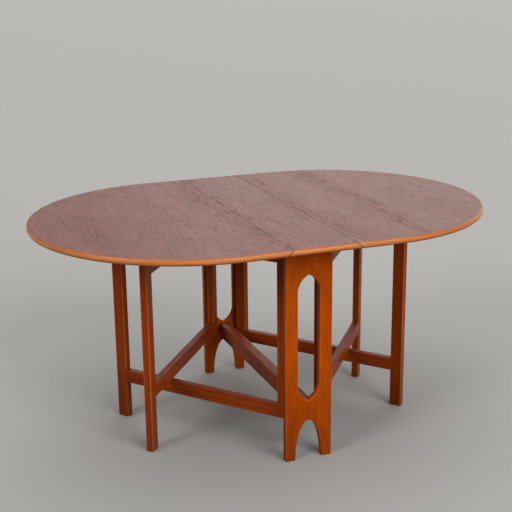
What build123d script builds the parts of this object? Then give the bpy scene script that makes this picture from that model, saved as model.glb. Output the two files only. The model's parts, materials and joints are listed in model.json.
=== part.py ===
from build123d import *
import os

os.makedirs("parts", exist_ok=True)

# A drop leaf table with a fixed centre strip, two round-ended leaves on rule joints, two
# slab end panels and four crossing gate legs, drawn with the leaves up and the gates out.
# X runs from leaf to leaf, Y along the centre strip, Z up from the floor. Millimetres.

# Table top
table_length = 1510.0
table_width = 1032.0
table_height = 720.0
top_thickness = 20.0
centre_width = 202.0
lipping_width = 14.0
lipping_round = 7.0
joint_edge_width = 30.0

# Rule joint between the centre strip and each leaf
rule_step = 6.0
seam_gap = 1.2
rule_clearance = 2.0

# End panels
panel_width = 154.0
panel_thickness = 22.0
panel_setback = 119.5
panel_edge_round = 3.0
cutout_width = 72.0
cutout_bottom = 197.0
cutout_head = 98.0
cutout_point_rise = 55.0
arch_width = 88.0
arch_height = 130.0
foot_corner_round = 5.0

# Stretcher and upper rail between the panels
stretcher_width = 42.0
stretcher_height = 48.0
stretcher_bottom = 144.0
stretcher_round = 7.0
upper_rail_thickness = 22.0
upper_rail_height = 64.0

# Gates: the outer gates have their rails at the ends, the inner gates pass between them
gate_thickness = 25.0
leg_width = 41.0
leg_round = 3.5
stile_width = 40.0
stile_top_gap = 4.0
rail_height = 43.0
rail_round = 3.0
leg_reach = 645.0
leg_top_gap = 0.4
outer_open_angle = 38.9
inner_open_angle = 37.5
outer_lower_rail_bottom = 128.0
outer_upper_rail_drop = 68.0
inner_lower_rail_bottom = 175.5
inner_upper_rail_drop = 118.0
tenon_thickness = 8.0
tenon_shoulder = 6.0
tenon_length = 26.0

# Gate hinges
lower_hinge_height = 270.0
upper_hinge_drop = 170.0
gate_hinge_height = 60.0
gate_knuckle_radius = 4.0
gate_flap_width = 14.0
flap_margin = 3.0
flap_thickness = 2.0
hinge_pin_radius = 1.5
pin_clearance = 0.3
knuckle_gap = 0.5
notch_clearance = 0.8
wood_clearance = 0.4

# Leaf hinges
leaf_hinge_places = (-432.0, 432.0)
leaf_hinge_length = 60.0
leaf_knuckle_radius = 3.0
fixed_flap_width = 28.0
leaf_flap_width = 52.0
lift_recess = 1.2
mortise_margin = 1.0

# Screws
screw_radius = 1.8
screw_head_radius = 3.6
screw_head_depth = 1.8
screw_spacing = 36.0
panel_screw_length = 16.0
stile_screw_length = 18.0
top_screw_length = 15.0
leaf_screw_inset = 10.0

# Gate stops, cleats and dowels
stop_length = 40.0
stop_width = 18.0
stop_height = 14.0
stop_screw_length = 27.0
stop_screw_spacing = 22.0
cleat_length = 14.0
cleat_depth = 25.0
cleat_height = 25.0
cleat_screw_length = 38.0
dowel_radius = 5.0
dowel_length = 40.0
dowel_in_panel = 16.0
stretcher_dowel_spacing = 22.0
rail_dowel_spacing = 34.0
top_dowel_length = 34.0
top_dowel_in_top = 12.0
top_dowel_spacing = 116.0

# Places worked out from the sizes above
half_length = table_length / 2
half_width = table_width / 2
half_centre = centre_width / 2
underside = table_height - top_thickness
rule_radius = top_thickness - rule_step
end_centre = half_length - half_width
panel_outer = half_width - panel_setback
panel_inner = panel_outer - panel_thickness
half_cutout = cutout_width / 2
pin_offset = half_cutout + flap_margin + gate_flap_width
pin_y = panel_inner - gate_knuckle_radius - wood_clearance
stile_start = gate_knuckle_radius + wood_clearance
cutout_top = underside - cutout_head
outer_upper_rail_bottom = underside - outer_upper_rail_drop
inner_upper_rail_bottom = underside - inner_upper_rail_drop
gate_hinge_heights = (lower_hinge_height, underside - upper_hinge_drop)


def box(x, y, z):
    """A box given by its two ends on each axis."""
    size = (x[1] - x[0], y[1] - y[0], z[1] - z[0])
    centre = (sum(x) / 2, sum(y) / 2, sum(z) / 2)
    return Pos(*centre) * Box(*size)


def prism_along_y(face, reach):
    """A section drawn in X and Z, taken along Y to both sides."""
    return extrude(Plane.XZ * face, amount=reach, both=True)


def mirror_x(shape):
    return mirror(shape, Plane.YZ)


def mirror_y(shape):
    return mirror(shape, Plane.XZ)


def half_turn(shape):
    return Rot(0, 0, 180) * shape


def all_solids(shapes):
    """One group of solids from a list of shapes."""
    return Compound(children=[solid for shape in shapes for solid in shape.solids()])


def write(shape, node):
    export_step(shape, f"parts/{node}.step")


def screw(length):
    """A countersunk screw: head flush at Z 0, point up at Z length."""
    head = Pos(0, 0, screw_head_depth / 2) * Cone(screw_head_radius, screw_radius, screw_head_depth)
    shank_length = length - screw_head_depth
    shank = Pos(0, 0, screw_head_depth + shank_length / 2) * Cylinder(screw_radius, shank_length)
    return head + shank


def long_edges(shape, axis):
    return shape.edges().filter_by(axis)


# Centre strip of the top, with a quarter-round edge down each side
centre_section = Pos(0, underside + top_thickness / 2) * Rectangle(centre_width, top_thickness)
quarter_round = Pos(half_centre, underside) * Circle(rule_radius)
quarter_round &= Pos(half_centre + rule_radius / 2, underside + rule_radius / 2) * Rectangle(
    rule_radius, rule_radius)
centre_section += quarter_round + mirror_x(quarter_round)
centre_blank = prism_along_y(centre_section, half_width)
end_edges = centre_blank.edges().filter_by(Axis.X).filter_by(
    lambda edge: abs(abs(edge.center().Y) - half_width) < 0.01)
centre_blank = fillet(end_edges.group_by(Axis.Z)[-1], lipping_round)
bottom_edges = centre_blank.edges().filter_by(Axis.X).group_by(Axis.Z)[0]
centre_blank = fillet(bottom_edges, lipping_round)

tall = (underside - 1, table_height + 1)
board_half_width = half_width - lipping_width
wide = half_centre + rule_radius + 1
between_lippings = box((-wide, wide), (-board_half_width, board_half_width), tall)
board_reach = half_centre - joint_edge_width
board_space = box((-board_reach, board_reach), (-board_half_width, board_half_width), tall)
centre_lippings = centre_blank - between_lippings
centre_board = centre_blank & board_space
centre_joint_edges = (centre_blank & between_lippings) - board_space

# Leaves: the right one is made and turned half round for the left one
outer_outline = make_face([
    Line((half_centre, -half_width), (end_centre, -half_width)),
    ThreePointArc((end_centre, -half_width), (half_length, 0), (end_centre, half_width)),
    Line((end_centre, half_width), (half_centre, half_width)),
    Line((half_centre, half_width), (half_centre, -half_width)),
])
leaf_blank = Pos(0, 0, underside) * extrude(outer_outline, amount=top_thickness)
rim_edges = leaf_blank.edges().filter_by(
    lambda edge: edge.center().X > half_centre + 1 and edge.length > top_thickness * 2)
leaf_blank = fillet(rim_edges, lipping_round)
cove_section = Pos(half_centre, underside) * Circle(rule_radius + rule_clearance)
cove_section += Pos(half_centre + seam_gap - top_thickness, underside + top_thickness / 2) * Rectangle(
    top_thickness * 2, top_thickness * 2)
leaf_blank -= prism_along_y(cove_section, half_width + 1)

board_start = half_centre + seam_gap + joint_edge_width
board_outline = make_face([
    Line((board_start, -board_half_width), (end_centre, -board_half_width)),
    ThreePointArc(
        (end_centre, -board_half_width), (half_length - lipping_width, 0), (end_centre, board_half_width)),
    Line((end_centre, board_half_width), (board_start, board_half_width)),
    Line((board_start, board_half_width), (board_start, -board_half_width)),
])
leaf_board_space = Pos(0, 0, underside - 1) * extrude(board_outline, amount=top_thickness + 2)
leaf_edge_space = box((half_centre, board_start), (-board_half_width, board_half_width), tall)
leaf_board = leaf_blank & leaf_board_space
leaf_joint_edge = leaf_blank & leaf_edge_space
leaf_lipping = leaf_blank - leaf_board_space - leaf_edge_space


# Hinges: a barrel on Z with the fixed flap on one side and the moving flap on the other
def barrel(radius, z, hole):
    length = z[1] - z[0]
    return Pos(0, 0, sum(z) / 2) * (Cylinder(radius, length) - Cylinder(hole, length))


def hinge_flap(radius, plate_y, plate_end, length, moving):
    """One flap: a plate from the barrel out along +X, with its own lengths of barrel."""
    third = length / 3
    middle = (-third / 2, third / 2)
    clear_middle = (middle[0] - knuckle_gap, middle[1] + knuckle_gap)
    plate = box((0, plate_end), plate_y, (-length / 2, length / 2))
    notch_end = radius + notch_clearance
    if moving:
        lower_notch = box((-1, notch_end), plate_y, (-length / 2, middle[0]))
        upper_notch = box((-1, notch_end), plate_y, (middle[1], length / 2))
        hole = hinge_pin_radius + pin_clearance
        flap = (plate - lower_notch - upper_notch) + barrel(radius, middle, hole)
        return flap - Cylinder(hole, length + 2)
    flap = plate - box((-1, notch_end), plate_y, clear_middle)
    flap += barrel(radius, (-length / 2, clear_middle[0]), hinge_pin_radius)
    flap += barrel(radius, (clear_middle[1], length / 2), hinge_pin_radius)
    return flap - Cylinder(hinge_pin_radius, length + 2)


# Gate hinges, in the place of the near left gate with its pin at the origin
gate_plate = (-gate_knuckle_radius - wood_clearance, -gate_knuckle_radius - wood_clearance + flap_thickness)
gate_fixed_flap = hinge_flap(gate_knuckle_radius, gate_plate, gate_flap_width, gate_hinge_height, False)
gate_moving_flap = mirror_y(
    hinge_flap(gate_knuckle_radius, gate_plate, gate_flap_width, gate_hinge_height, True))
gate_pin = Cylinder(hinge_pin_radius, gate_hinge_height)
flap_screw_x = (gate_knuckle_radius + gate_flap_width) / 2
screw_heights = (-screw_spacing / 2, screw_spacing / 2)
plate_face = gate_plate[1]
panel_screws = [Pos(flap_screw_x, plate_face, z) * Rot(90, 0, 0) * screw(panel_screw_length)
                for z in screw_heights]
stile_screws = [Pos(flap_screw_x, -plate_face, z) * Rot(-90, 0, 0) * screw(stile_screw_length)
                for z in screw_heights]
gate_fixed_flap -= panel_screws
gate_moving_flap -= stile_screws


def at_hinge_heights(shapes):
    return [Pos(0, 0, height) * shape for height in gate_hinge_heights for shape in shapes]


def at_near_left_pin(shape, angle=0.0):
    """From the pin at the origin to the near left pin, swung out by the angle."""
    return Pos(-pin_offset, -pin_y, 0) * Rot(0, 0, angle) * shape


def at_four_pins(shapes):
    near_left = [at_near_left_pin(shape) for shape in shapes]
    near_right = [mirror_x(shape) for shape in near_left]
    return near_left + near_right + [half_turn(shape) for shape in near_left + near_right]


# Gate frame, made straight along +Y from the pin, outer face at X 0
def gate_rail(bottom):
    start = stile_start + stile_width
    end = leg_reach - leg_width / 2
    rail = box((0, gate_thickness), (start, end), (bottom, bottom + rail_height))
    rail = fillet(long_edges(rail, Axis.Y), rail_round)
    tenon_x = ((gate_thickness - tenon_thickness) / 2, (gate_thickness + tenon_thickness) / 2)
    tenon_z = (bottom + tenon_shoulder, bottom + rail_height - tenon_shoulder)
    tenons = box(tenon_x, (start - tenon_length, end + tenon_length), tenon_z)
    return rail + tenons


def gate_pieces(lower_bottom, upper_bottom, angle):
    lower_rail = gate_rail(lower_bottom)
    upper_rail = gate_rail(upper_bottom)
    leg_y = (leg_reach - leg_width / 2, leg_reach + leg_width / 2)
    leg = box((0, gate_thickness), leg_y, (0, underside - leg_top_gap))
    leg = fillet(long_edges(leg, Axis.Z), leg_round)
    stile_y = (stile_start, stile_start + stile_width)
    stile = box((0, gate_thickness), stile_y, (lower_bottom, underside - stile_top_gap))
    stile = fillet(long_edges(stile, Axis.Z), leg_round)
    flaps = at_hinge_heights([gate_moving_flap])
    screws = at_hinge_heights(stile_screws)
    rails = lower_rail + upper_rail
    pieces = {
        "leg": leg - rails,
        "stile": stile - rails - screws,
        "lower_rail": lower_rail,
        "upper_rail": upper_rail,
        "hinge_flaps": all_solids(flaps),
        "hinge_screws": all_solids(screws),
    }
    return {name: at_near_left_pin(piece, angle) for name, piece in pieces.items()}


outer_gate = gate_pieces(outer_lower_rail_bottom, outer_upper_rail_bottom, outer_open_angle)
inner_gate = gate_pieces(inner_lower_rail_bottom, inner_upper_rail_bottom, inner_open_angle)
for name, piece in outer_gate.items():
    write(piece, f"near_left_{name}")
    write(half_turn(piece), f"far_right_{name}")
for name, piece in inner_gate.items():
    write(mirror_x(piece), f"near_right_{name}")
    write(mirror_y(piece), f"far_left_{name}")

write(all_solids(at_four_pins(at_hinge_heights([gate_fixed_flap]))), "gate_hinge_fixed_flaps")
write(all_solids(at_four_pins(at_hinge_heights([gate_pin]))), "gate_hinge_pins")
fixed_gate_screws = at_four_pins(at_hinge_heights(panel_screws))
write(all_solids(fixed_gate_screws), "gate_hinge_fixed_screws")


# Gate stops under the right leaf: one for the far right gate, one for the near right gate
def gate_stop(angle):
    stop_x = (-wood_clearance - stop_width, -wood_clearance)
    stop_y = (leg_reach - stop_length / 2, leg_reach + stop_length / 2)
    block = box(stop_x, stop_y, (underside - stop_height, underside))
    screws = [Pos(sum(stop_x) / 2, leg_reach + step, underside - stop_height) * screw(stop_screw_length)
              for step in (-stop_screw_spacing / 2, stop_screw_spacing / 2)]
    return at_near_left_pin(block - screws, angle), [at_near_left_pin(one, angle) for one in screws]


outer_stop, outer_stop_screws = gate_stop(outer_open_angle)
inner_stop, inner_stop_screws = gate_stop(inner_open_angle)
leaf_stops = [half_turn(outer_stop), mirror_x(inner_stop)]
leaf_stop_screws = [half_turn(one) for one in outer_stop_screws]
leaf_stop_screws += [mirror_x(one) for one in inner_stop_screws]

# Leaf hinges under the right rule joint, their pin on the centre of the quarter round
leaf_plate = (-flap_thickness, 0)
leaf_fixed_flap = mirror_x(
    hinge_flap(leaf_knuckle_radius, leaf_plate, fixed_flap_width, leaf_hinge_length, False))
leaf_moving_flap = hinge_flap(leaf_knuckle_radius, leaf_plate, leaf_flap_width, leaf_hinge_length, True)
lay_down = Rot(90, 0, 0)


def at_leaf_hinges(shapes):
    return [Pos(half_centre, y, underside) * shape for y in leaf_hinge_places for shape in shapes]


fixed_screw_x = -fixed_flap_width + leaf_screw_inset
leaf_screw_x = leaf_flap_width - leaf_screw_inset
fixed_top_screws = [Pos(fixed_screw_x, y, -flap_thickness) * screw(top_screw_length) for y in screw_heights]
moving_top_screws = [Pos(leaf_screw_x, y, -flap_thickness) * screw(top_screw_length) for y in screw_heights]
fixed_flaps = at_leaf_hinges([lay_down * leaf_fixed_flap - fixed_top_screws])
moving_flaps = at_leaf_hinges([lay_down * leaf_moving_flap - moving_top_screws])
leaf_pins = at_leaf_hinges([lay_down * Cylinder(hinge_pin_radius, leaf_hinge_length)])
fixed_leaf_screws = at_leaf_hinges(fixed_top_screws)
moving_leaf_screws = at_leaf_hinges(moving_top_screws)

# Room for the barrels and for the moving flaps under the quarter round
mortise_length = leaf_hinge_length + mortise_margin * 2
barrel_room = lay_down * Cylinder(leaf_knuckle_radius + wood_clearance, mortise_length)
recess = box((0, rule_radius + mortise_margin), (-mortise_length / 2, mortise_length / 2), (-1, lift_recess))
mortises = at_leaf_hinges([barrel_room, recess])
centre_joint_edges -= mortises + [mirror_x(one) for one in mortises]
centre_joint_edges -= fixed_leaf_screws + [mirror_x(one) for one in fixed_leaf_screws]
leaf_joint_edge -= moving_leaf_screws
leaf_board -= moving_leaf_screws + leaf_stop_screws

write(all_solids([leaf for flap in fixed_flaps for leaf in (flap, mirror_x(flap))]), "leaf_hinge_fixed_flaps")
write(all_solids([leaf for pin in leaf_pins for leaf in (pin, mirror_x(pin))]), "leaf_hinge_pins")
write(all_solids(fixed_leaf_screws + [mirror_x(one) for one in fixed_leaf_screws]), "leaf_hinge_fixed_screws")
leaf_nodes = {
    "leaf_board": leaf_board,
    "leaf_joint_edge": leaf_joint_edge,
    "leaf_lipping": leaf_lipping,
    "leaf_hinge_flaps": all_solids(moving_flaps),
    "leaf_hinge_screws": all_solids(moving_leaf_screws),
    "gate_stops": all_solids(leaf_stops),
    "gate_stop_screws": all_solids(leaf_stop_screws),
}
for name, piece in leaf_nodes.items():
    write(piece, f"right_{name}")
    write(half_turn(piece), f"left_{name}")

# End panels: a slab with a cut-out pointed at both ends, and an arch between the feet
point_radius = (half_cutout**2 + cutout_point_rise**2) / cutout_width
head_start = cutout_top - cutout_point_rise
foot_start = cutout_bottom + cutout_point_rise


def pointed_oval(height):
    """Two arcs of the cut-out's width that meet in a point above and below the height."""
    left_arc = Pos(point_radius - half_cutout, height) * Circle(point_radius)
    return left_arc & (Pos(half_cutout - point_radius, height) * Circle(point_radius))


slot = Pos(0, (head_start + foot_start) / 2) * Rectangle(cutout_width, head_start - foot_start)
slot += [pointed_oval(head_start), pointed_oval(foot_start)]
arch = Ellipse(arch_width / 2, arch_height)
panel_face = Pos(0, underside / 2) * Rectangle(panel_width, underside)
panel_face -= [slot, arch]
foot_corners = panel_face.vertices().filter_by(lambda v: abs(v.Y) < 0.01)
panel_face = fillet(foot_corners, foot_corner_round)
near_panel = Pos(0, -panel_inner, 0) * extrude(Plane.XZ * panel_face, amount=panel_thickness)
side_edges = near_panel.edges().filter_by(Axis.Z).filter_by(
    lambda edge: abs(abs(edge.center().X) - panel_width / 2) < 0.01)
near_panel = fillet(side_edges, panel_edge_round)

# Stretcher and upper rail between the panels, and the dowels that hold them
stretcher = box(
    (-stretcher_width / 2, stretcher_width / 2), (-panel_inner, panel_inner),
    (stretcher_bottom, stretcher_bottom + stretcher_height))
stretcher = fillet(long_edges(stretcher, Axis.Y).group_by(Axis.Z)[-1], stretcher_round)
upper_rail = box(
    (-upper_rail_thickness / 2, upper_rail_thickness / 2), (-panel_inner, panel_inner),
    (underside - upper_rail_height, underside))


def end_dowels(height, spacing):
    """Two dowels, one over the other, through the joint at the near panel."""
    centre_y = -panel_inner - dowel_in_panel + dowel_length / 2
    return [Pos(0, centre_y, height + step) * Rot(90, 0, 0) * Cylinder(dowel_radius, dowel_length)
            for step in (-spacing / 2, spacing / 2)]


stretcher_dowels = end_dowels(stretcher_bottom + stretcher_height / 2, stretcher_dowel_spacing)
stretcher_dowels += [mirror_y(one) for one in stretcher_dowels]
rail_dowels = end_dowels(underside - upper_rail_height / 2, rail_dowel_spacing)
rail_dowels += [mirror_y(one) for one in rail_dowels]
stretcher -= stretcher_dowels
upper_rail -= rail_dowels

top_dowel_z = underside + top_dowel_in_top - top_dowel_length / 2
top_dowels = [Pos(x, -(panel_inner + panel_outer) / 2, top_dowel_z) * Cylinder(dowel_radius, top_dowel_length)
              for x in (-top_dowel_spacing / 2, top_dowel_spacing / 2)]
top_dowels += [mirror_y(one) for one in top_dowels]

# Cleats in the corners of panel, upper rail and top, screwed up into the centre board
cleat_x = (upper_rail_thickness / 2, upper_rail_thickness / 2 + cleat_length)
cleat_y = (-panel_inner, -panel_inner + cleat_depth)
cleat = box(cleat_x, cleat_y, (underside - cleat_height, underside))
cleat_screw = Pos(sum(cleat_x) / 2, sum(cleat_y) / 2, underside - cleat_height) * screw(cleat_screw_length)
near_cleats = [cleat - cleat_screw, mirror_x(cleat - cleat_screw)]
cleat_screws = [cleat_screw, mirror_x(cleat_screw)]
cleat_screws += [mirror_y(one) for one in cleat_screws]

near_panel -= stretcher_dowels + rail_dowels + top_dowels + fixed_gate_screws
centre_board -= top_dowels + cleat_screws

write(centre_board, "centre_board")
write(centre_joint_edges, "centre_joint_edges")
write(centre_lippings, "centre_lippings")
write(near_panel, "near_end_panel")
write(half_turn(near_panel), "far_end_panel")
write(stretcher, "stretcher")
write(upper_rail, "upper_rail")
write(all_solids(stretcher_dowels), "stretcher_dowels")
write(all_solids(rail_dowels), "upper_rail_dowels")
write(all_solids(top_dowels), "top_dowels")
write(all_solids(near_cleats + [mirror_y(one) for one in near_cleats]), "top_cleats")
write(all_solids(cleat_screws), "cleat_screws")
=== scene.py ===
# %% [markdown]
# # A drop leaf table in teak
# The table has a fixed centre strip, two round-ended leaves on rule joints, two slab end panels and
# four gates that cross under the leaves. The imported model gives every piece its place, so this
# lesson only has to give each one its softened edges, its grain and its finish.

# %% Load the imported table
import json
import math

import bmesh
import bpy
import numpy as np
from mathutils import Euler, Matrix, Vector


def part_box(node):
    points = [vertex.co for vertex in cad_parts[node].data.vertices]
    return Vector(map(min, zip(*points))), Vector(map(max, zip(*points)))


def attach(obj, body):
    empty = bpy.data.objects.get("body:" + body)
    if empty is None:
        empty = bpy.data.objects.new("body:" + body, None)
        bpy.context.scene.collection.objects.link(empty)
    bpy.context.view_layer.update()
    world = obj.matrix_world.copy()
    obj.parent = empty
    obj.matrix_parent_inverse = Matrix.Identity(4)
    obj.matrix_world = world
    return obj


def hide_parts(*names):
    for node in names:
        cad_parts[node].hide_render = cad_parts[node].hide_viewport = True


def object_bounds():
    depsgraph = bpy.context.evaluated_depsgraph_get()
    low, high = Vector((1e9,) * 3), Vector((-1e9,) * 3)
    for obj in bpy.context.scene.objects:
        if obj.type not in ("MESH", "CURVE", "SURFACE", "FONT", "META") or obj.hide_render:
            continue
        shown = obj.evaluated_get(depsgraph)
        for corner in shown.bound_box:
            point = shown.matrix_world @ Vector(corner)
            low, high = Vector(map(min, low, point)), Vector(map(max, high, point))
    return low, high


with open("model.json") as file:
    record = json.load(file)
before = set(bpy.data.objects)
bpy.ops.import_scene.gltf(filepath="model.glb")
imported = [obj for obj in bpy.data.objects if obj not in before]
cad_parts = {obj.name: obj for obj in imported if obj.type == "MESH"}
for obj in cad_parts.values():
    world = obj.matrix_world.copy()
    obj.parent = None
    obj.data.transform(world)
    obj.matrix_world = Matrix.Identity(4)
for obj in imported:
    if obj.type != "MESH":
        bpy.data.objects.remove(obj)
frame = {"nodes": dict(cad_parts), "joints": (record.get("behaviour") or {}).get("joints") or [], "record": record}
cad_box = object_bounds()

nodes = frame["nodes"]
mm = 0.001

# %% [markdown]
# ## Camera
# The picture is taken from a standing person's height, a little to the left of the end panel, with a
# long lens. A camera can be aimed with a Track To constraint, but three turns, as on a tripod, do as
# well: how far it is tilted up from looking straight down, how much it leans, and where it heads.

# %% The camera
eye = Vector((-1.2202, -3.1184, 1.5324))
tilt, lean, heading = 73.70764, 0.58904, -21.28211
sensor_width_mm = 36.0
picture_pixels = 512
focal_pixels = 1050.0


def new_object(name, data):
    """An object in the scene that shows the given data."""
    item = bpy.data.objects.new(name, data)
    bpy.context.collection.objects.link(item)
    return item


camera_data = bpy.data.cameras.new("camera")
camera_data.sensor_width = sensor_width_mm
camera_data.lens = sensor_width_mm * focal_pixels / picture_pixels
camera = new_object("camera", camera_data)
aim = Euler([math.radians(turn) for turn in (tilt, lean, heading)])
camera.matrix_world = Matrix.LocRotScale(eye, aim, None)
bpy.context.scene.camera = camera
print("lens:", round(camera_data.lens, 2), "mm")

# %% [markdown]
# ## Colours and nodes
# Colours are written as sRGB hex values, as a paint chart gives them, but a shader adds up light, so
# each one is turned to linear first. One small function adds a node, sets its options and fills or
# links its inputs, which keeps every node tree below short enough to read.

# %% Helpers for materials
def linear(colour):
    """An sRGB hex value such as 9C5A2D as a linear colour with full alpha."""
    shares = [int(colour[i:i + 2], 16) / 255 for i in (0, 2, 4)]
    return [s / 12.92 if s <= 0.04045 else ((s + 0.055) / 1.055) ** 2.4 for s in shares] + [1.0]


def add_node(tree, kind, inputs=None, **settings):
    """Add a node, set its options, and fill or link its inputs by name or number."""
    node = tree.nodes.new(kind)
    for name, value in settings.items():
        setattr(node, name, value)
    for key, value in (inputs or {}).items():
        if isinstance(value, bpy.types.NodeSocket):
            tree.links.new(value, node.inputs[key])
        else:
            node.inputs[key].default_value = value
    return node


def new_material(name):
    """A new material, its node tree and the shader in that tree."""
    material = bpy.data.materials.new(name)
    material.use_nodes = True
    return material, material.node_tree, material.node_tree.nodes["Principled BSDF"]


print("a middle brown in linear light:", [round(s, 3) for s in linear("5C3A21")])

# %% [markdown]
# ## Floor
# The table stands on a plain pale floor that fills the picture. Such a floor would throw so much light
# up that the underside looked lit from below. Light Path tells the rays that the camera and mirrors
# send from the ones that only carry light, so the floor can look pale and still give back little.

# %% The floor
floor_reach = 60.0
floor_colour = "A6A4A0"
bounce_colour = "5E5B57"
floor_roughness = 0.9


def seen_directly(tree):
    """1 for rays from the camera, a mirror or glass, and 0 for rays that only carry light."""
    ray = add_node(tree, "ShaderNodeLightPath").outputs
    seen = ray["Is Camera Ray"]
    for kind in ("Is Glossy Ray", "Is Transmission Ray"):
        seen = add_node(tree, "ShaderNodeMath", {0: seen, 1: ray[kind]}, operation="MAXIMUM").outputs[0]
    return seen


floor_mesh = bpy.data.meshes.new("floor")
corners = [(x * floor_reach, y * floor_reach, 0) for x, y in ((-1, -1), (1, -1), (1, 1), (-1, 1))]
floor_mesh.from_pydata(corners, [], [(0, 1, 2, 3)])
floor = new_object("floor", floor_mesh)
floor_material, floor_tree, floor_shader = new_material("matt_floor")
floor_tone = add_node(
    floor_tree, "ShaderNodeMix",
    {0: seen_directly(floor_tree), 6: linear(bounce_colour), 7: linear(floor_colour)}, data_type="RGBA")
floor_tree.links.new(floor_tone.outputs[2], floor_shader.inputs["Base Color"])
floor_shader.inputs["Roughness"].default_value = floor_roughness
floor_mesh.materials.append(floor_material)
print("floor reaches", floor_reach, "m")

# %% [markdown]
# ## Daylight
# Soft daylight, as a room with three windows and a skylight gives it. The large window stands low in
# front, so its light reaches in under the top, and a weaker one helps from the left. One behind on the
# right lies as a sheen on the top and on the upper sides of the rails. Sun lamps with a wide angle light
# the floor evenly, where area lamps would leave bright patches. Beyond the floor's end, the world looks
# pale in the same way as the floor does, and gives little light.

# %% The light
# For each window: the direction towards it, how wide it looks in degrees, and its strength.
windows = {
    "front_window": (Vector((0.3, -1.0, 0.5)), 40, 2.2),
    "left_window": (Vector((-1.0, -0.4, 0.55)), 22, 1.0),
    "back_window": (Vector((1.9, 1.75, 0.85)), 66, 0.62),
    "skylight": (Vector((0.0, 0.1, 1.0)), 90, 1.85),
}
world_colour = "F4F6F8"
world_strength, backdrop_strength = 0.06, 0.5

for name, (direction, spread, strength) in windows.items():
    lamp_data = bpy.data.lights.new(name, "SUN")
    lamp_data.energy = strength
    lamp_data.angle = math.radians(spread)
    lamp = new_object(name, lamp_data)
    lamp.rotation_euler = direction.to_track_quat("Z", "Y").to_euler()

world = bpy.data.worlds.new("pale_room")
world.use_nodes = True
background = world.node_tree.nodes["Background"]
background.inputs["Color"].default_value = linear(world_colour)
brightness = add_node(
    world.node_tree, "ShaderNodeMapRange",
    {0: seen_directly(world.node_tree), "To Min": world_strength, "To Max": backdrop_strength})
world.node_tree.links.new(brightness.outputs[0], background.inputs["Strength"])
bpy.context.scene.world = world
bpy.context.scene.view_settings.view_transform = "Standard"
print("windows:", list(windows), "world", world_strength)

# %% [markdown]
# ## Where the grain runs
# Teak is a plank before it is a leg or a lipping, so its figure has to follow each piece and not the
# room. Every wooden piece below carries a "grain" attribute: how far each point lies across, along
# and through its plank, in metres. Veneer adds one thing: it is laid in sheets side by side, and each
# sheet shows another stretch of the log, so the pattern jumps from sheet to sheet.

# %% The place of a point in its plank or its sheet of veneer
def plank_place(tree, sheet_width):
    """The place in the plank, or in its sheet of veneer, and a chance value for each sheet."""
    place = add_node(tree, "ShaderNodeAttribute", attribute_name="grain").outputs["Vector"]
    if not sheet_width:
        return place, None
    sheet_jump = (0.0, 2.7, 0.06)
    log_number = 191
    across = add_node(tree, "ShaderNodeSeparateXYZ", {0: place}).outputs["X"]
    sheets = add_node(tree, "ShaderNodeMath", {0: across, 1: sheet_width}, operation="DIVIDE")
    number = add_node(tree, "ShaderNodeMath", {0: sheets.outputs[0]}, operation="FLOOR")
    draw = add_node(tree, "ShaderNodeMath", {0: number.outputs[0], 1: log_number}, operation="ADD")
    chance = add_node(tree, "ShaderNodeTexWhiteNoise", {"W": draw.outputs[0]}, noise_dimensions="1D")
    halfway = add_node(tree, "ShaderNodeMath", {0: number.outputs[0], 1: 0.5}, operation="ADD")
    middle = add_node(
        tree, "ShaderNodeMath", {0: halfway.outputs[0], 1: -sheet_width}, operation="MULTIPLY")
    to_middle = add_node(tree, "ShaderNodeCombineXYZ", {"X": middle.outputs[0]})
    centred = add_node(
        tree, "ShaderNodeVectorMath", {0: place, 1: to_middle.outputs[0]}, operation="ADD")
    jump = add_node(
        tree, "ShaderNodeVectorMath",
        {0: chance.outputs["Color"], 1: sheet_jump, 2: centred.outputs[0]}, operation="MULTIPLY_ADD")
    return jump.outputs[0], chance.outputs["Value"]


print("plank places ready")

# %% [markdown]
# Everything that grows in wood is drawn out along the grain: a cloud of noise that is squeezed across
# the grain and stretched along it gives streaks, lines or pores, depending on its two sizes. Where only
# the thick parts of the cloud count, it breaks up into separate marks.

# %% Clouds and marks along the grain
def drawn_out_cloud(tree, place, size, detail=2.0):
    """A cloudy pattern with a size across the grain and a longer one along it, in metres."""
    across, along = size
    stretched = add_node(
        tree, "ShaderNodeMapping",
        {"Vector": place, "Scale": (1 / across, 1 / along, 1 / across)}, vector_type="POINT")
    cloud = add_node(
        tree, "ShaderNodeTexNoise", {"Vector": stretched.outputs[0], "Scale": 1.0, "Detail": detail})
    return cloud.outputs["Fac"]


def grain_marks(tree, place, size, limits, detail=2.0):
    """Marks along the grain: none where the cloud is under the first limit, full over the second."""
    faint, full = limits
    cloud = drawn_out_cloud(tree, place, size, detail)
    return add_node(tree, "ShaderNodeMapRange", {0: cloud, 1: faint, 2: full}, clamp=True).outputs[0]


print("cloud helpers ready")

# %% [markdown]
# ## Growth lines
# A board is a flat cut through a tree that tapers, so its growth rings show as long arches near the
# heart and as straight lines far from it. The distance to the heart of the log gives both: across the
# board it is plain width, and along the board the log leans out of the cut a little. Each ring darkens
# slowly and ends at once, and a wandering cloud keeps the lines from looking ruled.

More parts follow.
